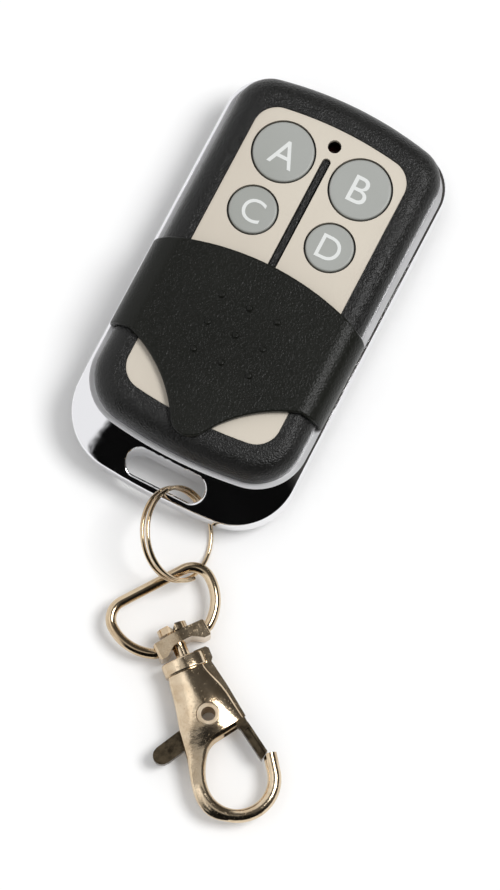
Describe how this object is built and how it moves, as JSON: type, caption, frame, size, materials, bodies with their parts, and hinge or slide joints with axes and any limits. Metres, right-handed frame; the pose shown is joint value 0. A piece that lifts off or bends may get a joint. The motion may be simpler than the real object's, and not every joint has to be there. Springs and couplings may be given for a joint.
{
  "type": "rf remote control",
  "caption": "Flat pocket transmitter with lettered push keys, a sliding key cover, a bright metal band with a lip slot, and a swivel trigger clasp on a split ring.",
  "frame": {"origin": "middle of the transmitter's flat back, where it lies on the table", "axes": "+Y along the transmitter towards its indicator end, +Z out of the keys, +X to the right of the keys"},
  "size_m": [0.0487, 0.0936, 0.0136],
  "materials": {
    "shell_black": "fine sand-textured ABS",
    "cover_black": "satin moulded ABS",
    "frame_chrome": "bright chrome plate",
    "plate_champagne": "fine satin champagne anodised",
    "key_grey": "satin grey moulding with printed letter",
    "board_green": "solder-masked glass-fibre laminate",
    "chip_black": "moulded epoxy",
    "switch_case": "moulded switch case",
    "plunger_cream": "moulded plunger",
    "can_metal": "plated metal can",
    "light_red": "clear red resin",
    "cell_sleeve": "sleeved steel can",
    "contact_nickel": "nickel-plated spring strip",
    "screw_steel": "zinc-plated steel",
    "chain_nickel": "polished warm nickel plate"
  },
  "bodies": {
    "housing": {"lower_shell": "shell_black", "chrome_frame": "frame_chrome", "upper_shell": "shell_black", "face_plate": "plate_champagne", "case_screws": "screw_steel", "circuit_board": "board_green", "switch_a": "switch_case", "switch_b": "switch_case", "switch_c": "switch_case", "switch_d": "switch_case", "indicator_light": "light_red", "encoder_chip": "chip_black", "radio_resonator": "can_metal", "radio_transistor": "chip_black", "tuning_capacitor": "can_metal", "chip_resistors": "chip_black", "battery": "cell_sleeve", "contact_plus": "contact_nickel", "contact_minus": "contact_nickel"},
    "cover": {"slide_cover": "cover_black"},
    "ring": {"split_ring": "chain_nickel"},
    "bow": {"clasp_bow": "chain_nickel"},
    "yoke": {"swivel_yoke": "chain_nickel"},
    "clasp": {"swivel_post": "chain_nickel", "clasp_body": "chain_nickel", "gate_rivet": "chain_nickel", "gate_spring": "chain_nickel"},
    "gate": {"gate_lever": "chain_nickel"},
    "key_a": {"key_a": "key_grey", "plunger_a": "plunger_cream"},
    "key_b": {"key_b": "key_grey", "plunger_b": "plunger_cream"},
    "key_c": {"key_c": "key_grey", "plunger_c": "plunger_cream"},
    "key_d": {"key_d": "key_grey", "plunger_d": "plunger_cream"}
  },
  "joints": [
    {"name": "cover_slide", "type": "slide", "parent": "housing", "child": "cover", "axis": [0, 1, 0], "range_m": [0, 0.021]},
    {"name": "key_a_press", "type": "slide", "parent": "housing", "child": "key_a", "axis": [0, 0, -1], "range_m": [0, 0.00035], "stiffness_N_per_m": 2000},
    {"name": "key_b_press", "type": "slide", "parent": "housing", "child": "key_b", "axis": [0, 0, -1], "range_m": [0, 0.00035], "stiffness_N_per_m": 2000},
    {"name": "key_c_press", "type": "slide", "parent": "housing", "child": "key_c", "axis": [0, 0, -1], "range_m": [0, 0.00035], "stiffness_N_per_m": 2000},
    {"name": "key_d_press", "type": "slide", "parent": "housing", "child": "key_d", "axis": [0, 0, -1], "range_m": [0, 0.00035], "stiffness_N_per_m": 2000},
    {"name": "ring_swing", "type": "hinge", "parent": "housing", "child": "ring", "pos_m": [0.003, -0.02925, 0.0045], "axis": [-1, 0, 0], "range_deg": [0, 50]},
    {"name": "bow_sway", "type": "hinge", "parent": "ring", "child": "bow", "pos_m": [0.00766, -0.03621, 0.0026], "axis": [0, 0, 1], "range_deg": [-10, 10]},
    {"name": "yoke_fold", "type": "hinge", "parent": "bow", "child": "yoke", "pos_m": [0.01174, -0.04509, 0.0028], "axis": [0.5707, 0.8211, 0], "range_deg": [-70, 70]},
    {"name": "clasp_swivel", "type": "hinge", "parent": "yoke", "child": "clasp", "pos_m": [0.01135, -0.04555, 0.0028], "axis": [0.7627, -0.6468, 0], "continuous": true},
    {"name": "gate_open", "type": "hinge", "parent": "clasp", "child": "gate", "pos_m": [0.0196, -0.05255, 0.0028], "axis": [0, 0, -1], "range_deg": [0, 25], "stiffness_Nm_per_rad": 0.003}
  ]
}
